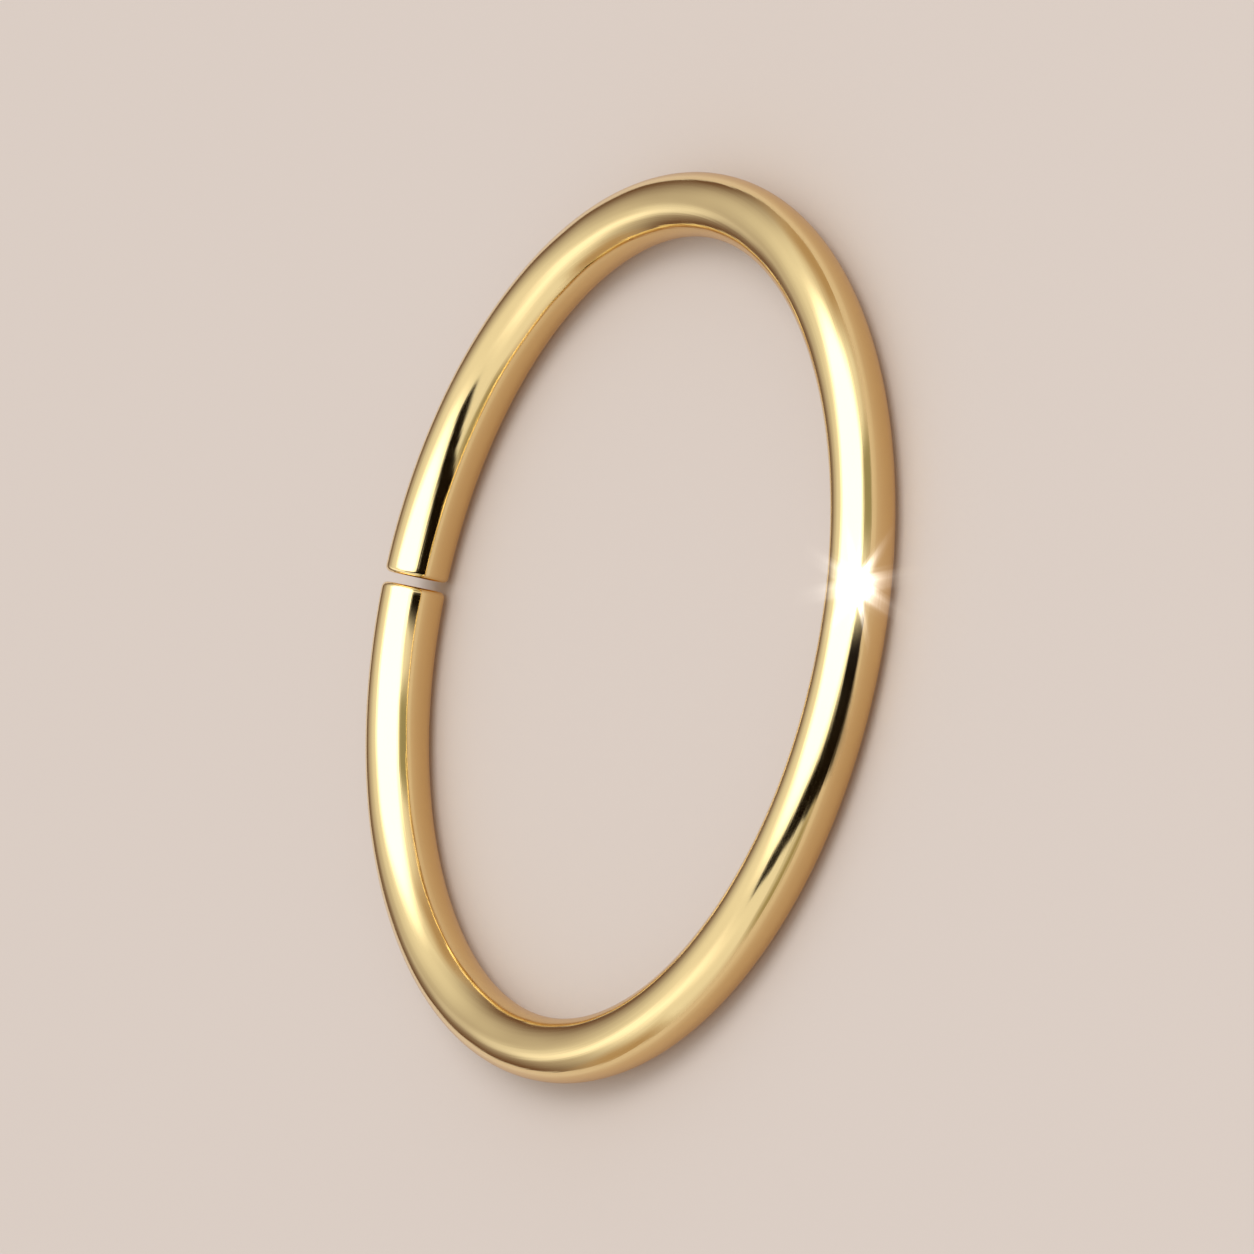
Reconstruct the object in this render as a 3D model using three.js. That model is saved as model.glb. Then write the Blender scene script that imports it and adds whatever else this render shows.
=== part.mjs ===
// A plain gold nose hoop, as body jewellers sell it under the name seamless ring: one length of round wire with
// softened ends, bent into a circle until the ends all but meet. It is opened by twisting the ends sideways and
// slides through a nostril piercing, with the joint hidden inside the nose.
//
// Millimetres, +Z up. The hoop lies on its side, as it rests on a table: its axis is +Z, the origin is the centre
// of the circle on the table top, and the joint between the two ends faces +Y.

import * as THREE from "three";
import { mergeVertices } from "three/addons/utils/BufferGeometryUtils.js";

// Sizes of the real hoop.
const WIRE_DIAMETER = 0.65; // 22 gauge
const INNER_DIAMETER = 8.0; // the clear circle that the rim of the nostril sits in
const JOINT_GAP = 0.1; // between the two end faces
const END_EDGE_RADIUS = 0.06; // the softened edge of each end face
const END_FLAT_SHARE = 0.1; // the least share of the wire's radius that stays flat on an end face

// How finely the round forms are cut. The wire's flats touch its true round, so it is WIRE_DIAMETER across flats,
// and one row of flats faces straight down for the hoop to rest on.
const WIRE_SIDES = 24;
const BEND_STEPS = 119;
const EDGE_STEPS = 3;

const wireRadius = WIRE_DIAMETER / 2;
const bendRadius = (INNER_DIAMETER + WIRE_DIAMETER) / 2; // of the wire's own axis
const wireLength = 2 * Math.PI * bendRadius - JOINT_GAP;
const edgeRadius = Math.min(END_EDGE_RADIUS, (1 - END_FLAT_SHARE) * wireRadius);
const flatsToCorners = 1 / Math.cos(Math.PI / WIRE_SIDES);

// The profile that turns into the straight wire: x is the distance from the wire's axis, y the distance along it
// from the middle of its length.
function wireProfile() {
  const halfLength = wireLength / 2;
  const straightHalf = halfLength - edgeRadius;
  const outline = [];
  const addPoint = (x, y) => outline.push(new THREE.Vector2(x * flatsToCorners, y));

  addPoint(0, -halfLength);
  for (let i = 0; i < EDGE_STEPS; i++) {
    const turn = (i / EDGE_STEPS) * (Math.PI / 2);
    addPoint(wireRadius - edgeRadius * (1 - Math.sin(turn)), -straightHalf - edgeRadius * Math.cos(turn));
  }
  for (let i = 0; i <= BEND_STEPS; i++) {
    addPoint(wireRadius, straightHalf * ((2 * i) / BEND_STEPS - 1));
  }
  for (let i = EDGE_STEPS - 1; i >= 0; i--) {
    const turn = (i / EDGE_STEPS) * (Math.PI / 2);
    addPoint(wireRadius - edgeRadius * (1 - Math.sin(turn)), straightHalf + edgeRadius * Math.cos(turn));
  }
  addPoint(0, halfLength);
  return outline;
}

// The straight wire as one closed solid, its axis along Y, with a flat turned to face down.
function straightWire() {
  const lathe = new THREE.LatheGeometry(wireProfile(), WIRE_SIDES, Math.PI / WIRE_SIDES);
  lathe.deleteAttribute("normal");
  lathe.deleteAttribute("uv");
  return mergeVertices(lathe);
}

// Bends the straight wire round the origin. The middle of its length comes to -Y and its ends meet at +Y.
function bendToHoop(wire) {
  const point = new THREE.Vector3();
  const positions = wire.getAttribute("position");
  for (let i = 0; i < positions.count; i++) {
    point.fromBufferAttribute(positions, i);
    const angle = point.y / bendRadius - Math.PI / 2;
    const radius = bendRadius + point.x;
    positions.setXYZ(i, radius * Math.cos(angle), radius * Math.sin(angle), point.z);
  }
  wire.computeVertexNormals();
  return wire;
}

const polishedGold = new THREE.MeshStandardMaterial({
  color: "#e3bd78",
  roughness: 0.1,
  metalness: 1.0,
});

const hoop = new THREE.Mesh(bendToHoop(straightWire()), polishedGold);
hoop.name = "hoop";
hoop.position.z = wireRadius; // the underside of the wire lies on the table

const noseRing = new THREE.Group();
noseRing.add(hoop);

export default noseRing;
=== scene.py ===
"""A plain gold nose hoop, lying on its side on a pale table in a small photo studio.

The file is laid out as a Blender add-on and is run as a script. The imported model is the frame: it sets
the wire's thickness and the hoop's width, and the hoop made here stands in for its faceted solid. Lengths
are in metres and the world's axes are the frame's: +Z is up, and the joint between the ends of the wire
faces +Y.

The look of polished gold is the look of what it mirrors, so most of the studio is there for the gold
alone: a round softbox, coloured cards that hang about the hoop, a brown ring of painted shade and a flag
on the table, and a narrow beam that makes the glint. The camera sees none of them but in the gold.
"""

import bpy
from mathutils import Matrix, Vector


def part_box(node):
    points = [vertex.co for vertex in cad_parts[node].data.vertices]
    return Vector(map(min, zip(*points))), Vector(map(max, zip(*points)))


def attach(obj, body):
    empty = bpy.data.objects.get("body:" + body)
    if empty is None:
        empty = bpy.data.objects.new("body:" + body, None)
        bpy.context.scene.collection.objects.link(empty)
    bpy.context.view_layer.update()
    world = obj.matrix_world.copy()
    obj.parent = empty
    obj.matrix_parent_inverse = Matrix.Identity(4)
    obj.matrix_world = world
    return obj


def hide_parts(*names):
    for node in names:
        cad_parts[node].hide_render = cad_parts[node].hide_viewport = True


bl_info = {
    "name": "Gold Nose Hoop",
    "version": (1, 0, 0),
    "blender": (4, 5, 0),
    "location": "View3D > Sidebar > Nose Hoop",
    "description": "Makes a polished gold nose hoop and the studio that it is photographed in",
    "category": "Add Mesh",
}

import math
from typing import NamedTuple

import bpy
from mathutils import Matrix, Vector

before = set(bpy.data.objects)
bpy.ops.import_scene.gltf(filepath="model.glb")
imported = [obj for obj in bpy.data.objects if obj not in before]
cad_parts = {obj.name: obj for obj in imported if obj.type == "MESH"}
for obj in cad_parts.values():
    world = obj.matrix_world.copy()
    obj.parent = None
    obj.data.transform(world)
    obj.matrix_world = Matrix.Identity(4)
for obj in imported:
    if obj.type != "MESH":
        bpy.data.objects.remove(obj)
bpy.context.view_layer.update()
hoop_low, hoop_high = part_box("hoop")

packed_wire_radius = (hoop_high.z - hoop_low.z) / 2
packed_bend_radius = hoop_high.x - packed_wire_radius

MM = 0.001


def linear(hex_colour):
    """An sRGB colour written as #rrggbb, as the linear red, green and blue that Blender works in."""
    shares = [int(hex_colour[i : i + 2], 16) / 255 for i in (1, 3, 5)]
    return [s / 12.92 if s <= 0.04045 else ((s + 0.055) / 1.055) ** 2.4 for s in shares]


def add_node(tree, kind, inputs=None, **settings):
    """Adds a node with its settings, and fills its inputs with values or with other nodes' outputs."""
    node = tree.nodes.new(kind)
    for name, value in settings.items():
        setattr(node, name, value)
    for key, value in (inputs or {}).items():
        if isinstance(value, bpy.types.NodeSocket):
            tree.links.new(value, node.inputs[key])
        else:
            node.inputs[key].default_value = value
    return node


def link_object(name, data):
    """Puts a new object with this mesh, light or camera into the scene."""
    made = bpy.data.objects.new(name, data)
    bpy.context.scene.collection.objects.link(made)
    return made


# The hoop


class HoopSizes(bpy.types.PropertyGroup):
    """What a jeweller would ask for: the wire, the hoop's width and how the ends meet."""

    wire_diameter: bpy.props.FloatProperty(
        name="Wire diameter",
        description="Thickness of the round wire",
        default=hoop_high.z - hoop_low.z,
        min=0.2 * MM,
        unit="LENGTH",
        precision=5,
    )
    outer_diameter: bpy.props.FloatProperty(
        name="Outer diameter",
        description="Width of the whole hoop",
        default=hoop_high.x - hoop_low.x,
        min=2 * MM,
        unit="LENGTH",
        precision=5,
    )
    joint_gap: bpy.props.FloatProperty(
        name="Joint gap",
        description="How far apart the two cut ends stand",
        default=0.1 * MM,
        min=0.01 * MM,
        unit="LENGTH",
        precision=5,
    )
    end_edge: bpy.props.FloatProperty(
        name="Softened edge",
        description="Radius of the rounded edge on each cut end, so that it slides in smoothly",
        default=0.06 * MM,
        min=0.005 * MM,
        unit="LENGTH",
        precision=5,
    )
    sides: bpy.props.IntProperty(
        name="Sides", description="Faces round the wire", default=72, min=12
    )
    steps: bpy.props.IntProperty(
        name="Steps", description="Faces along the wire", default=540, min=48
    )


EDGE_STEPS = 8  # faces round the softened edge of a cut end
END_FACE_RINGS = (0.35, 0.7, 0.96)  # rings on the flat of a cut end, as shares of its radius
STRAIGHT_PLACE = "straight_wire"  # the attribute that keeps each point's place, in mm, before the bending


def wire_rings(sizes):
    """The rings of the straight wire's mesh, each as its place along the wire and its radius, end to end.

    With them come half the wire's length and the radius that it is bent to.
    """
    radius = sizes.wire_diameter / 2
    bend_radius = (sizes.outer_diameter - sizes.wire_diameter) / 2
    half_length = math.pi * bend_radius - sizes.joint_gap / 2
    flat_radius = radius - sizes.end_edge
    end = [(half_length, flat_radius * share) for share in END_FACE_RINGS]
    for i in range(EDGE_STEPS):
        turn = i / EDGE_STEPS * math.pi / 2
        along = half_length - sizes.end_edge * (1 - math.cos(turn))
        end.append((along, flat_radius + sizes.end_edge * math.sin(turn)))
    straight_half = half_length - sizes.end_edge
    shaft = [(straight_half * (2 * i / sizes.steps - 1), radius) for i in range(sizes.steps + 1)]
    return [(-along, r) for along, r in end] + shaft + end[::-1], half_length, bend_radius


def hoop_mesh(sizes):
    """The wire as one closed mesh: drawn straight along Y, then bent so that its ends nearly meet."""
    rings, half_length, bend_radius = wire_rings(sizes)
    straight = [(0, -half_length, 0)]
    for along, ring_radius in rings:
        for side in range(sizes.sides):
            turn = 2 * math.pi * side / sizes.sides
            straight.append((ring_radius * math.cos(turn), along, ring_radius * math.sin(turn)))
    straight.append((0, half_length, 0))

    faces = [(0, 1 + side, 1 + (side + 1) % sizes.sides) for side in range(sizes.sides)]
    for ring in range(len(rings) - 1):
        this_ring = 1 + ring * sizes.sides
        next_ring = this_ring + sizes.sides
        for side in range(sizes.sides):
            beside = (side + 1) % sizes.sides
            faces.append((this_ring + side, next_ring + side, next_ring + beside, this_ring + beside))
    last_ring = 1 + (len(rings) - 1) * sizes.sides
    last_point = len(straight) - 1
    for side in range(sizes.sides):
        faces.append((last_point, last_ring + (side + 1) % sizes.sides, last_ring + side))

    bent = []
    for x, along, z in straight:
        angle = along / bend_radius - math.pi / 2
        reach = bend_radius + x
        bent.append((reach * math.cos(angle), reach * math.sin(angle), z + sizes.wire_diameter / 2))

    mesh = bpy.data.meshes.new("hoop_wire")
    mesh.from_pydata(bent, [], faces)
    places = mesh.attributes.new(STRAIGHT_PLACE, "FLOAT_VECTOR", "POINT")
    places.data.foreach_set("vector", [value / MM for point in straight for value in point])
    mesh.polygons.foreach_set("use_smooth", [True] * len(mesh.polygons))
    mesh.validate()
    return mesh


class GoldFinish(bpy.types.PropertyGroup):
    """How the gold was alloyed and polished."""

    light_gold: bpy.props.FloatVectorProperty(
        name="Gold",
        description="Colour that the polished alloy gives to what it mirrors",
        subtype="COLOR",
        default=linear("#fae2a8"),
        min=0,
        max=1,
    )
    deep_gold: bpy.props.FloatVectorProperty(
        name="Deeper gold",
        description="Colour of the faint patches where the alloy is a little richer",
        subtype="COLOR",
        default=linear("#f7dca0"),
        min=0,
        max=1,
    )
    gloss_roughness: bpy.props.FloatProperty(
        name="Roughness", description="Roughness of the buffed wire", default=0.07, min=0, max=1
    )
    smudge_roughness: bpy.props.FloatProperty(
        name="Smudge",
        description="Roughness where fingers have dulled the shine",
        default=0.14,
        min=0,
        max=1,
    )
    line_spacing: bpy.props.FloatProperty(
        name="Drawing lines",
        description="Distance between the fine lines that the die left along the wire, in mm",
        default=0.03,
        min=0.001,
    )
    line_depth: bpy.props.FloatProperty(
        name="Line depth",
        description="How deep those lines are, in mm",
        default=0.001,
        min=0,
        precision=5,
    )


# Sizes on the gold's surface, in mm.
PATCH_SIZE = 1.67  # of the patches where the alloy is a little richer
LINE_LENGTH = 5  # of the lines that the die left
TOUCH_SIZE = 0.91  # of the dull touches
WAVER_WIDTH = 0.625  # of the soft dents that the bending left, across the wire
WAVER_LENGTH = 1.43  # of those dents, along the wire
WAVER_DEPTH = 0.018

# The dull touches: a share of the lines is added to them, and the gold dulls between these two sums.
LINE_SHARE = 0.5
DULL_FROM = 0.68
DULL_TO = 1


def polished_gold(finish):
    """Solid 14 carat yellow gold wire: drawn through a die, bent and buffed on a mop.

    A metal, so it mirrors its surroundings in its own pale yellow. Buffing leaves it nearly smooth: faint
    lines along the wire, a surface that is not quite true, and a few dull touches.
    """
    material = bpy.data.materials.new("polished_gold_14_carat")
    material.use_nodes = True
    tree = material.node_tree
    tree.nodes.clear()
    place = add_node(tree, "ShaderNodeAttribute", attribute_name=STRAIGHT_PLACE).outputs["Vector"]

    # The alloy: patches a few millimetres long and barely there.
    patches = add_node(
        tree,
        "ShaderNodeTexNoise",
        {"Vector": place, "Scale": 1 / PATCH_SIZE, "Detail": 2, "Roughness": 0.5},
    )
    colour = add_node(
        tree,
        "ShaderNodeMix",
        {"Factor": patches.outputs["Fac"], 6: (*finish.light_gold, 1), 7: (*finish.deep_gold, 1)},
        data_type="RGBA",
    )

    # The lines of the drawing die. Real ones are a few thousandths of a millimetre apart, so these are
    # drawn several times as coarse, to show at all.
    stretch = (1 / finish.line_spacing, 1 / LINE_LENGTH, 1 / finish.line_spacing)
    along_wire = add_node(tree, "ShaderNodeMapping", {"Vector": place, "Scale": stretch})
    lines = add_node(
        tree,
        "ShaderNodeTexNoise",
        {"Vector": along_wire.outputs["Vector"], "Scale": 1, "Detail": 3, "Roughness": 0.65},
    )
    lined = add_node(
        tree,
        "ShaderNodeBump",
        {"Height": lines.outputs["Fac"], "Strength": 1, "Distance": finish.line_depth * MM},
    )

    # Dull touches about a millimetre across, in which the lines show more.
    touches = add_node(
        tree,
        "ShaderNodeTexNoise",
        {"Vector": place, "Scale": 1 / TOUCH_SIZE, "Detail": 4, "Roughness": 0.6},
    )
    dulled = add_node(
        tree,
        "ShaderNodeMath",
        {0: lines.outputs["Fac"], 1: LINE_SHARE, 2: touches.outputs["Fac"]},
        operation="MULTIPLY_ADD",
    )
    roughness = add_node(
        tree,
        "ShaderNodeMapRange",
        {
            "Value": dulled.outputs["Value"],
            "From Min": DULL_FROM,
            "From Max": DULL_TO,
            "To Min": finish.gloss_roughness,
            "To Max": finish.smudge_roughness,
        },
    )

    # The wire is not quite true after bending, so straight reflections waver.
    untrue_scale = (1 / WAVER_WIDTH, 1 / WAVER_LENGTH, 1 / WAVER_WIDTH)
    untrue = add_node(tree, "ShaderNodeMapping", {"Vector": place, "Scale": untrue_scale})
    waver = add_node(
        tree,
        "ShaderNodeTexNoise",
        {"Vector": untrue.outputs["Vector"], "Scale": 1, "Detail": 1, "Roughness": 0.4},
    )
    wavy = add_node(
        tree,
        "ShaderNodeBump",
        {
            "Height": waver.outputs["Fac"],
            "Strength": 1,
            "Distance": WAVER_DEPTH * MM,
            "Normal": lined.outputs["Normal"],
        },
    )

    gold = add_node(
        tree,
        "ShaderNodeBsdfPrincipled",
        {
            "Base Color": colour.outputs[2],
            "Metallic": 1,
            "Roughness": roughness.outputs["Result"],
            "Normal": wavy.outputs["Normal"],
        },
    )
    add_node(tree, "ShaderNodeOutputMaterial", {"Surface": gold.outputs["BSDF"]})
    return material


class NOSEHOOP_OT_add_wire(bpy.types.Operator):
    """Make the hoop: one length of gold wire bent into a circle"""

    bl_idname = "nose_hoop.add_wire"
    bl_label = "Add the Wire"
    bl_options = {"REGISTER", "UNDO"}

    def execute(self, context):
        scene = context.scene
        mesh = hoop_mesh(scene.nose_hoop_sizes)
        mesh.materials.append(polished_gold(scene.nose_hoop_finish))
        piece = link_object("hoop_wire", mesh)
        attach(piece, "root")
        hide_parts("hoop")
        return {"FINISHED"}


# The studio


class StudioSettings(bpy.types.PropertyGroup):
    """Where the camera stands, the colours of the table and the room, and how bright each light is."""

    camera_elevation: bpy.props.FloatProperty(
        name="Camera elevation",
        description="Angle of the view above the plane of the hoop",
        default=math.radians(30.7),
        subtype="ANGLE",
    )
    camera_roll: bpy.props.FloatProperty(
        name="Camera roll",
        description="How far the camera is turned clockwise about its line of sight",
        default=math.radians(78),
        subtype="ANGLE",
    )
    camera_distance: bpy.props.FloatProperty(
        name="Camera distance", description="From the middle of the hoop", default=0.264, unit="LENGTH"
    )
    picture_width: bpy.props.FloatProperty(
        name="Picture width",
        description="How much of the table fits across the picture at the hoop",
        default=12.6 * MM,
        unit="LENGTH",
        precision=5,
    )
    table_colour: bpy.props.FloatVectorProperty(
        name="Table",
        description="Colour of the matt table top",
        subtype="COLOR",
        default=linear("#ccc0b9"),
    )
    room_colour: bpy.props.FloatVectorProperty(
        name="Room",
        description="Colour of the pale room all round",
        subtype="COLOR",
        default=linear("#fffefb"),
    )
    room_brightness: bpy.props.FloatProperty(
        name="Room brightness", description="How bright the room is", default=0.88, min=0
    )
    lamp_power: bpy.props.FloatProperty(
        name="Lamp",
        description="Power of the soft lamp over the table",
        default=1.4,
        min=0,
        unit="POWER",
    )
    softbox_brightness: bpy.props.FloatProperty(
        name="Softbox",
        description="How bright the middle of the softbox is, which the gold mirrors",
        default=2.5,
        min=0,
    )
    beam_power: bpy.props.FloatProperty(
        name="Beam",
        description="Power of the narrow beam that makes the glint",
        default=1.1,
        min=0,
        unit="POWER",
    )


# Directions are in degrees as seen from the hoop: azimuth 0 is the camera's side and azimuth 90 is +X.

CLIP_START = 0.01  # well on the camera's side of the hoop
TABLE_RADIUS = 2
TABLE_CORNERS = 96

# The soft lamp over the table.
LAMP_SIZE = 0.35
LAMP_DISTANCE = 0.6
LAMP_AZIMUTH = 50
LAMP_ELEVATION = 58

# The round softbox that the gold mirrors in the lamp's place. Half its width is an angle at the hoop.
SOFTBOX_COLOUR = "#ffffff"
SOFTBOX_DISTANCE = 0.85
SOFTBOX_AZIMUTH = 55
SOFTBOX_ELEVATION = 68
SOFTBOX_HALF_WIDTH = 50
SOFTBOX_FADE = 0.35

CARD_STEPS = 48  # faces along a card
CARD_ROWS = 16  # faces up a card
CARD_COVER = "cover"  # the attribute that keeps how solid a card is at each point
SHARP = 0.001  # the fade of an edge that the table hides
FLAG_TAN = "#b59c80"
FLAG_BLACK = "#140d06"


class Card(NamedTuple):
    """A glowing card that hangs at some distance from the hoop, in metres.

    Each row of its stations is an azimuth, then the elevations of its lower and its upper edge there. The
    fades are the shares of its width and its height over which its edges grow clear.
    """

    name: str
    distance: float
    colour: str
    stations: tuple
    brightness: float = 1
    side_fade: float = 0.35
    top_fade: float = 0.7
    bottom_fade: float = SHARP


# From the farthest to the nearest. A nearer card hides what hangs behind it.
CARDS = (
    # Brown, behind the hoop: shades the inner edge of the near side.
    Card(
        "far_wall",
        0.9,
        "#6b4a34",
        ((95, -1, 12), (135, -1, 46), (180, -1, 58), (225, -1, 46), (265, -1, 12)),
        brightness=0.9,
        side_fade=0.3,
        top_fade=1,
    ),
    # Behind the camera: takes the glare off the room.
    Card(
        "near_wall",
        0.9,
        "#d6cac2",
        ((-125, -1, 14), (-60, -1, 20), (0, -1, 22), (60, -1, 20), (125, -1, 14)),
        side_fade=0.2,
        top_fade=1,
    ),
    # A pale streak along the wire on the -X side.
    Card(
        "pale_reflector",
        0.84,
        "#ffffff",
        ((-185, 20, 30), (-160, 14, 40), (-135, 24, 56), (-108, 30, 62), (-86, 26, 54), (-68, 30, 44)),
        brightness=1.3,
        side_fade=0.4,
        top_fade=0.5,
        bottom_fade=0.5,
    ),
    # Tan shades low on the wire, on both sides.
    Card(
        "left_tan_flag",
        0.83,
        FLAG_TAN,
        ((-140, -1, 10), (-124, -1, 32), (-108, -1, 32), (-92, -1, 10)),
        side_fade=0.4,
    ),
    Card(
        "right_tan_flag",
        0.83,
        FLAG_TAN,
        ((72, -1, 12), (94, -1, 38), (118, -1, 38), (140, -1, 12)),
        side_fade=0.4,
    ),
    # Greenish shades under the black line and beyond the glint.
    Card(
        "khaki_flag",
        0.82,
        "#a39a7c",
        ((-76, 2, 14), (-60, -1, 22), (-44, -1, 26), (-30, -1, 18), (-22, 1, 8)),
    ),
    Card(
        "olive_flag",
        0.8,
        "#9c987e",
        ((22, -1, 8), (28, -1, 29), (36, -1, 37), (44, -1, 38), (52, -1, 35), (60, -1, 26), (66, -1, 8)),
        top_fade=0.5,
    ),
    # The black line: it slants across the wire and widens towards the glint.
    Card(
        "dark_flag",
        0.8,
        FLAG_BLACK,
        (
            (-88, 57, 60),
            (-73, 49, 62),
            (-54, 38, 58),
            (-40, 25, 54),
            (-34, 8, 51),
            (-28, -8, 48),
            (-21, -8, 43),
            (-12, -8, 40),
            (0, -8, 36),
            (9, -8, 33),
            (17, -8, 14),
        ),
        side_fade=0.1,
        top_fade=0.15,
        bottom_fade=0.15,
    ),
)

# The dark flag that lies on the table and takes the black line on down the wire, in mm. Each row is an
# azimuth, then how far from the middle of the hoop its near edge lies there.
TABLE_FLAG_NEAR = (
    (-30, 60),
    (-24, 14),
    (-18, 6.4),
    (-14, 5.3),
    (-9, 5.1),
    (-4, 5.6),
    (3, 7),
    (10, 14),
    (17, 60),
)
TABLE_FLAG_FAR = 850
TABLE_FLAG_HEIGHT = 0.01
TABLE_FLAG_SIDE_FADE = 0.1
TABLE_FLAG_NEAR_FADE = 0.08

# Painted shade for the gold alone: a brown glowing ring just over the table, most solid right under the
# wire, which the wire's sides mirror as a warm, darker table there. Lengths in mm.
SHADE_RING_COLOUR = "#a6805f"
SHADE_RING_COVER = 0.62
SHADE_RING_REACH = 2.6  # on either side of the wire's middle
SHADE_RING_HEIGHT = 0.005

# The glint: where it sits on the wire, as an azimuth, and the narrow beam that makes it.
GLINT_AZIMUTH = 10.8
BEAM_AZIMUTH = 22
BEAM_ELEVATION = 36
BEAM_WIDTH = math.radians(0.4)
BEAM_DISTANCE = 0.055
BEAM_LAMP_RADIUS = 0.0015

# The halo and the star that a lens makes of the glint.
GLINT_THRESHOLD = 8  # nothing but the mirrored beam is this bright
GLINT_SATURATION = 0.3
HALO_STRENGTH = 1
HALO_SIZE = 0.2
STAR_STRENGTH = 0.4
STAR_RAYS = 8
STAR_TURN = math.radians(11)
STAR_PASSES = 3  # each one lengthens the rays
STAR_FADE = 0.9


def aim_camera(studio):
    """Sets up the camera: azimuth 0, so that the near side of the hoop is its -Y side."""
    elevation = studio.camera_elevation
    back = Vector((0, -math.cos(elevation), math.sin(elevation)))
    level_up = Vector((0, math.sin(elevation), math.cos(elevation)))
    level_right = Vector((1, 0, 0))
    up = level_up * math.cos(studio.camera_roll) + level_right * math.sin(studio.camera_roll)
    right = up.cross(back)
    middle = (hoop_low + hoop_high) / 2

    data = bpy.data.cameras.new("camera")
    data.lens = data.sensor_width * studio.camera_distance / studio.picture_width
    data.clip_start = CLIP_START
    data.clip_end = 2 * TABLE_RADIUS
    camera = link_object("camera", data)
    turned = Matrix((right, up, back)).transposed().to_4x4()
    camera.matrix_world = Matrix.Translation(middle + back * studio.camera_distance) @ turned
    bpy.context.scene.camera = camera


def lay_table(studio):
    """Lays the table top: a large plain disc under the hoop."""
    rim = []
    for i in range(TABLE_CORNERS):
        turn = 2 * math.pi * i / TABLE_CORNERS
        rim.append((TABLE_RADIUS * math.cos(turn), TABLE_RADIUS * math.sin(turn), 0))
    mesh = bpy.data.meshes.new("table")
    mesh.from_pydata(rim, [], [tuple(range(TABLE_CORNERS))])

    material = bpy.data.materials.new("matt_table")
    material.use_nodes = True
    tree = material.node_tree
    tree.nodes.clear()
    matt = add_node(tree, "ShaderNodeBsdfDiffuse", {"Color": (*studio.table_colour, 1)})
    add_node(tree, "ShaderNodeOutputMaterial", {"Surface": matt.outputs["BSDF"]})
    mesh.materials.append(material)
    link_object("table", mesh)


def light_room(studio):
    """Lights the table evenly from all sides, as a pale room would."""
    world = bpy.data.worlds.new("room")
    world.use_nodes = True
    background = world.node_tree.nodes["Background"]
    background.inputs["Color"].default_value = (*studio.room_colour, 1)
    background.inputs["Strength"].default_value = studio.room_brightness
    bpy.context.scene.world = world


def direction(azimuth, elevation):
    """The unit vector from the hoop in a direction given in degrees."""
    turn, rise = math.radians(azimuth), math.radians(elevation)
    return Vector((math.sin(turn) * math.cos(rise), -math.cos(turn) * math.cos(rise), math.sin(rise)))


def eased(share):
    """Eases a share, so that it leaves 0 and reaches 1 gently, and holds it between them."""
    share = min(max(share, 0), 1)
    return share * share * (3 - 2 * share)


def glow_material(name, colour, brightness):
    """An even glow that is as solid at each point as the mesh's cover says, and clear elsewhere."""
    material = bpy.data.materials.new(name)
    material.use_nodes = True
    tree = material.node_tree
    tree.nodes.clear()
    cover = add_node(tree, "ShaderNodeAttribute", attribute_name=CARD_COVER)
    glow = add_node(tree, "ShaderNodeEmission", {"Color": (*linear(colour), 1), "Strength": brightness})
    clear = add_node(tree, "ShaderNodeBsdfTransparent")
    mixed = add_node(
        tree,
        "ShaderNodeMixShader",
        {0: cover.outputs["Fac"], 1: clear.outputs["BSDF"], 2: glow.outputs["Emission"]},
    )
    add_node(tree, "ShaderNodeOutputMaterial", {"Surface": mixed.outputs["Shader"]})
    return material


def hang_glow(name, place, cover, colour, brightness):
    """Hangs a glowing sheet which only the gold sees, because it lights and shades nothing else.

    place and cover give each spot of the sheet its point in space and how solid it is, from the shares of
    the sheet's width and height at which it lies.
    """
    spots = [(i / CARD_STEPS, j / CARD_ROWS) for i in range(CARD_STEPS + 1) for j in range(CARD_ROWS + 1)]
    faces = []
    for i in range(CARD_STEPS):
        for j in range(CARD_ROWS):
            corner = i * (CARD_ROWS + 1) + j
            faces.append((corner, corner + 1, corner + CARD_ROWS + 2, corner + CARD_ROWS + 1))
    mesh = bpy.data.meshes.new(name)
    mesh.from_pydata([place(across, up) for across, up in spots], [], faces)
    covers = mesh.attributes.new(CARD_COVER, "FLOAT", "POINT")
    covers.data.foreach_set("value", [cover(across, up) for across, up in spots])
    mesh.materials.append(glow_material(name, colour, brightness))
    sheet = link_object(name, mesh)
    sheet.visible_camera = False
    sheet.visible_diffuse = False
    sheet.visible_shadow = False


def edges_at(stations, azimuth):
    """Where a card's edges are at an azimuth, eased from each row of its stations to the next."""
    pairs = zip(stations, stations[1:])
    start, end = next((a, b) for a, b in pairs if azimuth <= b[0])
    share = eased((azimuth - start[0]) / (end[0] - start[0]))
    return [before + (after - before) * share for before, after in zip(start[1:], end[1:])]


def hang_card(card):
    """Hangs one of the cards, as part of a sphere round the hoop."""
    first, last = card.stations[0][0], card.stations[-1][0]

    def place(across, up):
        azimuth = first + (last - first) * across
        low, high = edges_at(card.stations, azimuth)
        return direction(azimuth, low + (high - low) * up) * card.distance

    def cover(across, up):
        from_side = min(across, 1 - across)
        edge_covers = (
            eased(from_side / card.side_fade),
            eased((1 - up) / card.top_fade),
            eased(up / card.bottom_fade),
        )
        return math.prod(edge_covers)

    hang_glow(card.name, place, cover, card.colour, card.brightness)


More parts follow.
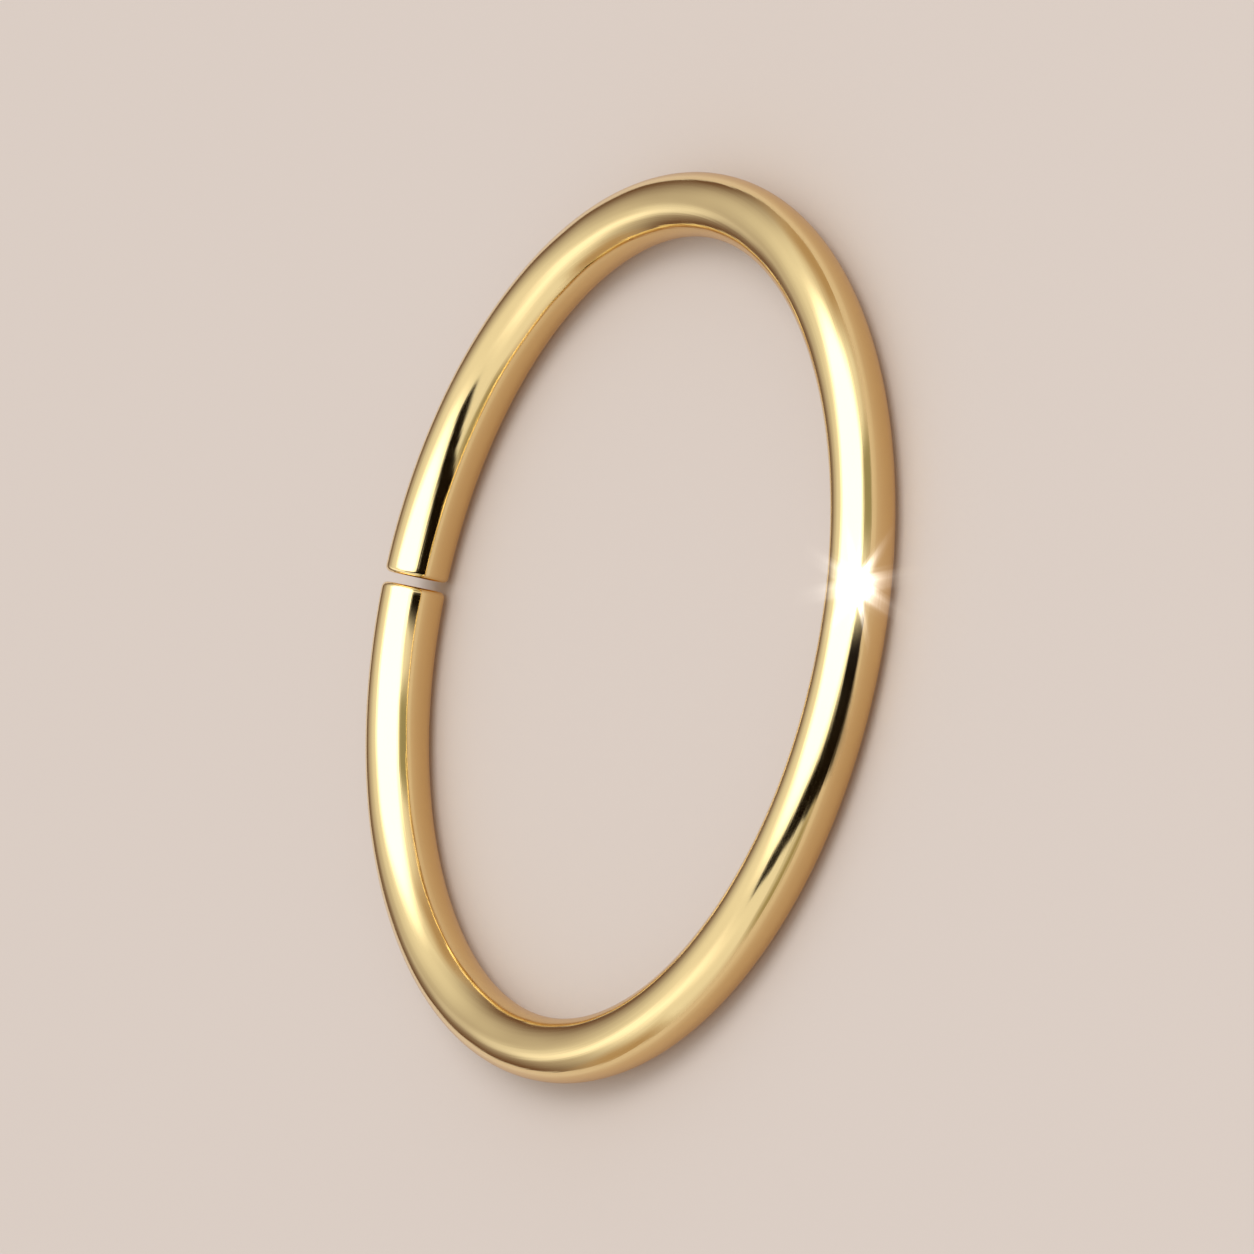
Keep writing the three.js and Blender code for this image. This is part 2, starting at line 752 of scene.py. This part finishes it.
def lay_flag():
    """Lays the dark flag on the table, from its near edge to under the hanging one."""
    first, last = TABLE_FLAG_NEAR[0][0], TABLE_FLAG_NEAR[-1][0]

    def place(across, up):
        azimuth = first + (last - first) * across
        (near,) = edges_at(TABLE_FLAG_NEAR, azimuth)
        away = near * (TABLE_FLAG_FAR / near) ** up
        return (direction(azimuth, 0) * away + Vector((0, 0, TABLE_FLAG_HEIGHT))) * MM

    def cover(across, up):
        from_side = min(across, 1 - across)
        return eased(from_side / TABLE_FLAG_SIDE_FADE) * eased(up / TABLE_FLAG_NEAR_FADE)

    hang_glow("table_flag", place, cover, FLAG_BLACK, 1)


def lay_painted_shade_ring():
    """Lays the ring of painted shade: brown, glowing, seen only by the gold, and most solid right under
    the wire.
    """

    def place(across, up):
        away = packed_bend_radius + SHADE_RING_REACH * MM * (2 * up - 1)
        return direction(360 * across, 0) * away + Vector((0, 0, SHADE_RING_HEIGHT * MM))

    def cover(across, up):
        return SHADE_RING_COVER * (1 - eased(abs(2 * up - 1)))

    # Painted shade: the wire mirrors this ring as a darker, browner table close under it.
    hang_glow("painted_shade_ring", place, cover, SHADE_RING_COLOUR, 1)


def hang_softbox(studio):
    """Hangs the round softbox, part of a sphere round the hoop, which is brightest in its middle."""
    turned = direction(SOFTBOX_AZIMUTH, SOFTBOX_ELEVATION).to_track_quat("Z", "Y")

    def place(across, up):
        turn = 2 * math.pi * across
        away = math.radians(SOFTBOX_HALF_WIDTH * up)
        spot = Vector((math.sin(away) * math.cos(turn), math.sin(away) * math.sin(turn), math.cos(away)))
        return turned @ spot * SOFTBOX_DISTANCE

    def cover(across, up):
        return eased((1 - up) / SOFTBOX_FADE)

    hang_glow("softbox", place, cover, SOFTBOX_COLOUR, studio.softbox_brightness)


def hang_lamp(studio):
    """Hangs the soft lamp over the table. The gold mirrors the softbox in its place."""
    data = bpy.data.lights.new("lamp", "AREA")
    data.size = LAMP_SIZE
    data.energy = studio.lamp_power
    towards = direction(LAMP_AZIMUTH, LAMP_ELEVATION)
    lamp = link_object("lamp", data)
    lamp.location = towards * LAMP_DISTANCE
    lamp.rotation_euler = towards.to_track_quat("Z", "Y").to_euler()
    lamp.visible_glossy = False


def hang_beam(studio):
    """Points a narrow beam at the near side of the hoop, which mirrors it as one brilliant spot."""
    spot = direction(GLINT_AZIMUTH, 0) * packed_bend_radius + Vector((0, 0, packed_wire_radius))
    towards = direction(BEAM_AZIMUTH, BEAM_ELEVATION)
    data = bpy.data.lights.new("beam", "SPOT")
    data.spot_size = BEAM_WIDTH
    data.spot_blend = 1
    data.shadow_soft_size = BEAM_LAMP_RADIUS
    data.energy = studio.beam_power
    beam = link_object("beam", data)
    beam.location = spot + towards * BEAM_DISTANCE
    beam.rotation_euler = towards.to_track_quat("Z", "Y").to_euler()
    beam.visible_camera = False
    beam.visible_diffuse = False


def add_glint(scene):
    """Adds the halo and the small star to the spot where the wire mirrors the beam."""
    scene.use_nodes = True
    tree = scene.node_tree
    tree.nodes.clear()
    picture = add_node(tree, "CompositorNodeRLayers")
    halo = add_node(
        tree,
        "CompositorNodeGlare",
        {
            "Image": picture.outputs["Image"],
            "Threshold": GLINT_THRESHOLD,
            "Strength": HALO_STRENGTH,
            "Saturation": GLINT_SATURATION,
            "Size": HALO_SIZE,
        },
        glare_type="BLOOM",
        quality="HIGH",
    )
    star = add_node(
        tree,
        "CompositorNodeGlare",
        {
            "Image": halo.outputs["Image"],
            "Threshold": GLINT_THRESHOLD,
            "Strength": STAR_STRENGTH,
            "Saturation": GLINT_SATURATION,
            "Streaks": STAR_RAYS,
            "Streaks Angle": STAR_TURN,
            "Iterations": STAR_PASSES,
            "Fade": STAR_FADE,
            "Color Modulation": 0,
        },
        glare_type="STREAKS",
        quality="HIGH",
    )
    add_node(tree, "CompositorNodeComposite", {"Image": star.outputs["Image"]})


class NOSEHOOP_OT_set_studio(bpy.types.Operator):
    """Set up the camera, the table, the room and the cards that the gold mirrors"""

    bl_idname = "nose_hoop.set_studio"
    bl_label = "Set Up the Studio"
    bl_options = {"REGISTER", "UNDO"}

    def execute(self, context):
        studio = context.scene.nose_hoop_studio
        aim_camera(studio)
        lay_table(studio)
        light_room(studio)
        hang_lamp(studio)
        hang_softbox(studio)
        for card in CARDS:
            hang_card(card)
        lay_flag()
        lay_painted_shade_ring()
        hang_beam(studio)
        add_glint(context.scene)
        context.scene.view_settings.view_transform = "Standard"
        return {"FINISHED"}


class NOSEHOOP_PT_panel(bpy.types.Panel):
    """The add-on's panel in the sidebar of the 3D view."""

    bl_label = "Nose Hoop"
    bl_idname = "NOSEHOOP_PT_panel"
    bl_space_type = "VIEW_3D"
    bl_region_type = "UI"
    bl_category = "Nose Hoop"

    def draw(self, context):
        scene = context.scene
        for settings in (scene.nose_hoop_sizes, scene.nose_hoop_finish, scene.nose_hoop_studio):
            box = self.layout.box()
            for name in settings.__annotations__:
                box.prop(settings, name)
        self.layout.operator(NOSEHOOP_OT_set_studio.bl_idname)
        self.layout.operator(NOSEHOOP_OT_add_wire.bl_idname)


CLASSES = (
    HoopSizes,
    GoldFinish,
    StudioSettings,
    NOSEHOOP_OT_add_wire,
    NOSEHOOP_OT_set_studio,
    NOSEHOOP_PT_panel,
)


def register():
    for cls in CLASSES:
        bpy.utils.register_class(cls)
    bpy.types.Scene.nose_hoop_sizes = bpy.props.PointerProperty(type=HoopSizes)
    bpy.types.Scene.nose_hoop_finish = bpy.props.PointerProperty(type=GoldFinish)
    bpy.types.Scene.nose_hoop_studio = bpy.props.PointerProperty(type=StudioSettings)


def unregister():
    del bpy.types.Scene.nose_hoop_studio
    del bpy.types.Scene.nose_hoop_finish
    del bpy.types.Scene.nose_hoop_sizes
    for cls in reversed(CLASSES):
        bpy.utils.unregister_class(cls)


def main():
    """Builds the scene."""
    register()
    bpy.ops.nose_hoop.set_studio()
    bpy.ops.nose_hoop.add_wire()


if __name__ == "__main__":
    main()
